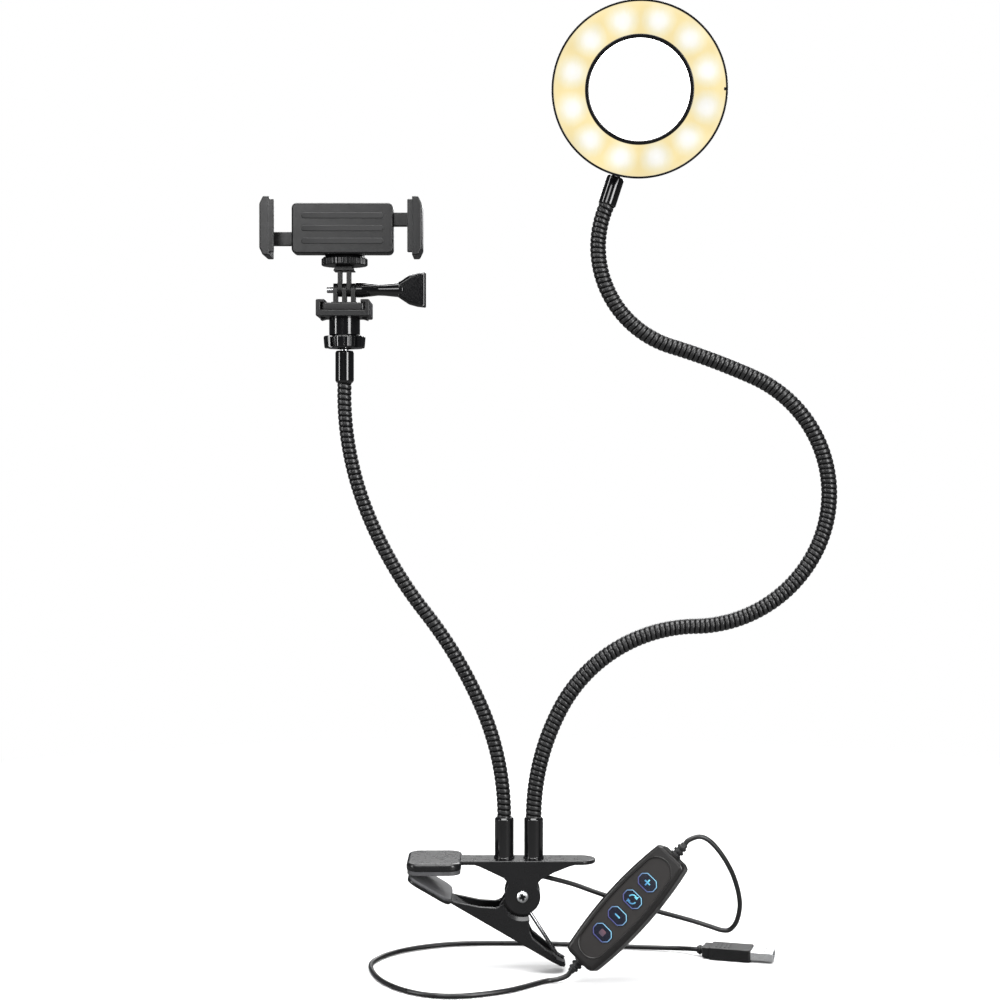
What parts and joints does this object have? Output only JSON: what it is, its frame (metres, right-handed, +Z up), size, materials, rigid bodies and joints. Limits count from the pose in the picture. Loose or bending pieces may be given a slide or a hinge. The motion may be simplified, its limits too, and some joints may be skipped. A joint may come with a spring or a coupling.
{
  "type": "clip-on ring light",
  "caption": "Clip-on ring light: a spring clamp carries a flexible arm with a small LED ring, a flexible arm with a phone cradle, and an inline button controller with a USB lead.",
  "frame": {"origin": "centre of the upper jaw pad's grip face", "axes": "+Z up, +X from the jaw towards the clamp's handles, -Y to the front, where the ring shines"},
  "size_m": [0.2973, 0.1016, 0.4973],
  "materials": {
    "clamp_satin": "black moulded plastic, satin, slightly polished on the edges",
    "black_gloss": "black, glossy, with soft streaks of highlight",
    "black_matte": "black moulded plastic with a fine spark-eroded grain",
    "hose": "dark grey ribbed sleeve, soft sheen",
    "core": "galvanised steel wire",
    "steel": "bright zinc-plated steel",
    "spring_steel": "bright drawn wire",
    "grip_rubber": "grey soft rubber, matt",
    "cradle_rubber": "dark soft rubber, matt",
    "diffuser": "milky translucent plastic, lit warm from inside",
    "board": "white solder mask",
    "led": "phosphor yellow",
    "green_board": "green solder mask",
    "brass": "plain turned brass",
    "controller": "dark charcoal plastic with a fine grain",
    "button": "dark smoked plastic with a lit outline",
    "cable": "black soft cable sheath",
    "plug_white": "white plastic"
  },
  "bodies": {
    "clamp_base": {"upper_clamp_arm": "clamp_satin", "upper_jaw_pad": "grip_rubber", "pivot_screw": "steel", "pivot_nut": "steel", "ring_arm_collar": "black_gloss", "holder_arm_collar": "black_gloss", "collar_nuts": "steel", "ring_hose_base": "hose", "ring_core_base": "core", "holder_hose_base": "hose", "controller_front": "controller", "controller_back": "controller", "controller_board": "green_board", "lead_boots": "cable", "lamp_lead": "cable", "usb_lead": "cable", "usb_grip": "black_matte", "usb_shell": "steel", "usb_tongue": "plug_white"},
    "lower_clamp": {"lower_clamp_arm": "clamp_satin", "lower_jaw_shell": "clamp_satin", "lower_jaw_pad": "grip_rubber", "clamp_spring": "spring_steel"},
    "ring_arm_1": {"ring_hose_lower": "hose", "ring_core_lower": "core"},
    "ring_arm_2": {"ring_hose_middle": "hose", "ring_core_middle": "core"},
    "ring_arm_3": {"ring_hose_upper": "hose", "ring_core_upper": "core", "ring_ferrule": "black_gloss"},
    "ring_head": {"ring_rear_housing": "black_matte", "ring_diffuser": "diffuser", "led_board": "board", "led_chips": "led", "ring_housing_screws": "steel", "tilt_screw": "steel"},
    "holder_arm_1": {"holder_hose_lower": "hose"},
    "holder_arm_2": {"holder_hose_upper": "hose", "holder_ferrule": "black_gloss"},
    "ball": {"ball_stud": "steel"},
    "socket": {"socket_base": "black_matte"},
    "nut": {"lock_nut": "black_matte"},
    "buckle": {"quick_buckle": "black_matte", "thumb_nut": "steel"},
    "clamp_bolt": {"thumb_screw": "black_gloss"},
    "adapter": {"prong_adapter": "black_matte", "tripod_screw": "steel"},
    "disc": {"lock_disc": "black_gloss"},
    "cradle": {"cradle_housing": "black_matte", "cradle_back_cover": "black_matte", "cradle_insert": "brass", "cradle_spring": "spring_steel"},
    "jaw_left": {"cradle_jaw_left": "black_matte", "cradle_pad_left": "cradle_rubber"},
    "jaw_right": {"cradle_jaw_right": "black_matte", "cradle_pad_right": "cradle_rubber"},
    "power": {"power_button": "button"},
    "dim": {"dim_button": "button"},
    "mode": {"mode_button": "button"},
    "bright": {"bright_button": "button"}
  },
  "joints": [
    {"name": "clamp_hinge", "type": "hinge", "parent": "clamp_base", "child": "lower_clamp", "pos_m": [0.0456, 0, -0.01275], "axis": [0, -1, 0], "range_deg": [0, 50], "stiffness_Nm_per_rad": 0.9, "springref_deg": -34.95, "deforming": ["clamp_spring"]},
    {"name": "ring_swing", "type": "hinge", "parent": "clamp_base", "child": "ring_arm_1", "pos_m": [0.0653, 0, 0.08286], "axis": [0, -1, 0], "range_deg": [-12, 12], "stiffness_Nm_per_rad": 1.2, "springref_deg": 2.86},
    {"name": "ring_lean", "type": "hinge", "parent": "ring_arm_1", "child": "ring_arm_2", "pos_m": [0.19751, 0, 0.16396], "axis": [0.8846, 0, -0.4664], "range_deg": [-20, 20], "stiffness_Nm_per_rad": 0.6, "springref_deg": -0.52},
    {"name": "ring_bend", "type": "hinge", "parent": "ring_arm_2", "child": "ring_arm_3", "pos_m": [0.12332, 0, 0.27161], "axis": [0, -1, 0], "range_deg": [-20, 20], "stiffness_Nm_per_rad": 0.4, "springref_deg": -1.41},
    {"name": "ring_tilt", "type": "hinge", "parent": "ring_arm_3", "child": "ring_head", "pos_m": [0.09593, 0, 0.36488], "axis": [0.9511, 0, -0.309], "range_deg": [-60, 14], "stiffness_Nm_per_rad": 0.04, "springref_deg": -8.46},
    {"name": "holder_swing", "type": "hinge", "parent": "clamp_base", "child": "holder_arm_1", "pos_m": [0.02506, 0, 0.08242], "axis": [0, -1, 0], "range_deg": [-12, 12], "stiffness_Nm_per_rad": 1.2, "springref_deg": -1.76},
    {"name": "holder_lean", "type": "hinge", "parent": "holder_arm_1", "child": "holder_arm_2", "pos_m": [-0.0354, 0, 0.1862], "axis": [0.9298, 0, 0.3681], "range_deg": [-20, 20], "stiffness_Nm_per_rad": 0.6, "springref_deg": -0.19},
    {"name": "socket_swivel", "type": "hinge", "parent": "holder_arm_2", "child": "ball", "pos_m": [-0.0468, 0, 0.28215], "axis": [0, 0, 1], "continuous": true},
    {"name": "socket_tilt", "type": "hinge", "parent": "ball", "child": "socket", "pos_m": [-0.0468, 0, 0.28215], "axis": [0, -1, 0], "range_deg": [-10, 10], "stiffness_Nm_per_rad": 0.5, "springref_deg": 0.07},
    {"name": "lock_nut_turn", "type": "hinge", "parent": "socket", "child": "nut", "pos_m": [-0.0468, 0, 0.2737], "axis": [0, 0, 1], "continuous": true},
    {"name": "buckle_slide", "type": "slide", "parent": "socket", "child": "buckle", "axis": [0, -1, 0], "range_m": [0, 0.02]},
    {"name": "thumb_screw_turn", "type": "hinge", "parent": "buckle", "child": "clamp_bolt", "pos_m": [-0.0468, 0, 0.3009], "axis": [1, 0, 0], "continuous": true},
    {"name": "adapter_tilt", "type": "hinge", "parent": "buckle", "child": "adapter", "pos_m": [-0.0468, 0, 0.3009], "axis": [1, 0, 0], "range_deg": [-60, 60], "stiffness_Nm_per_rad": 0.12, "springref_deg": -1.01},
    {"name": "disc_turn", "type": "hinge", "parent": "adapter", "child": "disc", "pos_m": [-0.0468, 0, 0.3156], "axis": [0, 0, 1], "continuous": true},
    {"name": "cradle_swivel", "type": "hinge", "parent": "adapter", "child": "cradle", "pos_m": [-0.0468, 0, 0.32125], "axis": [0, 0, 1], "continuous": true},
    {"name": "jaw_right_slide", "type": "slide", "parent": "cradle", "child": "jaw_right", "axis": [1, 0, 0], "range_m": [0, 0.0085], "stiffness_N_per_m": 60, "springref_m": -0.02, "deforming": ["cradle_spring"]},
    {"name": "jaw_left_slide", "type": "slide", "parent": "cradle", "child": "jaw_left", "axis": [-1, 0, 0], "range_m": [0, 0.0085]},
    {"name": "power_press", "type": "slide", "parent": "clamp_base", "child": "power", "axis": [0.2784, 0.9272, -0.2507], "range_m": [0, 0.0006], "stiffness_N_per_m": 250},
    {"name": "dim_press", "type": "slide", "parent": "clamp_base", "child": "dim", "axis": [0.2784, 0.9272, -0.2507], "range_m": [0, 0.0006], "stiffness_N_per_m": 250},
    {"name": "mode_press", "type": "slide", "parent": "clamp_base", "child": "mode", "axis": [0.2784, 0.9272, -0.2507], "range_m": [0, 0.0006], "stiffness_N_per_m": 250},
    {"name": "bright_press", "type": "slide", "parent": "clamp_base", "child": "bright", "axis": [0.2784, 0.9272, -0.2507], "range_m": [0, 0.0006], "stiffness_N_per_m": 250}
  ],
  "couplings": [
    {"joint": "jaw_left_slide", "follows": "jaw_right_slide", "ratio": 1}
  ]
}
